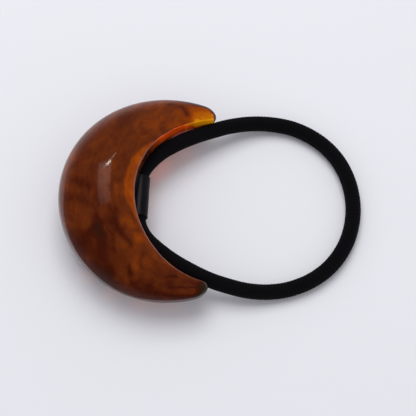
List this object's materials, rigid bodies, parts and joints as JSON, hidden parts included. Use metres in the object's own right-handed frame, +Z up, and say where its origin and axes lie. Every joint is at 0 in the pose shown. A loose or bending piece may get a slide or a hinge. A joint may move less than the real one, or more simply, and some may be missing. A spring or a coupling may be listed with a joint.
{
  "type": "resin cuff hair tie",
  "caption": "Domed tortoiseshell resin cuff that lies against a ponytail, on a black elastic loop whose ends meet in a plastic sleeve at the middle of its inner wall.",
  "frame": {"origin": "on the surface that the piece lies on, below the middle of the cuff's own box", "axes": "+Z up from that surface, +X from the cuff's outer face towards the ends of its horns and the far end of the loop, +Y along the cuff's length"},
  "size_m": [0.0903, 0.0642, 0.02],
  "materials": {
    "amber_resin": "polished, translucent, with brown and amber streaks",
    "black_elastic": "fine knitted sleeve, matte",
    "black_plastic": "satin"
  },
  "bodies": {
    "root": {"cuff": "amber_resin", "elastic": "black_elastic", "sleeve": "black_plastic"}
  },
  "joints": []
}
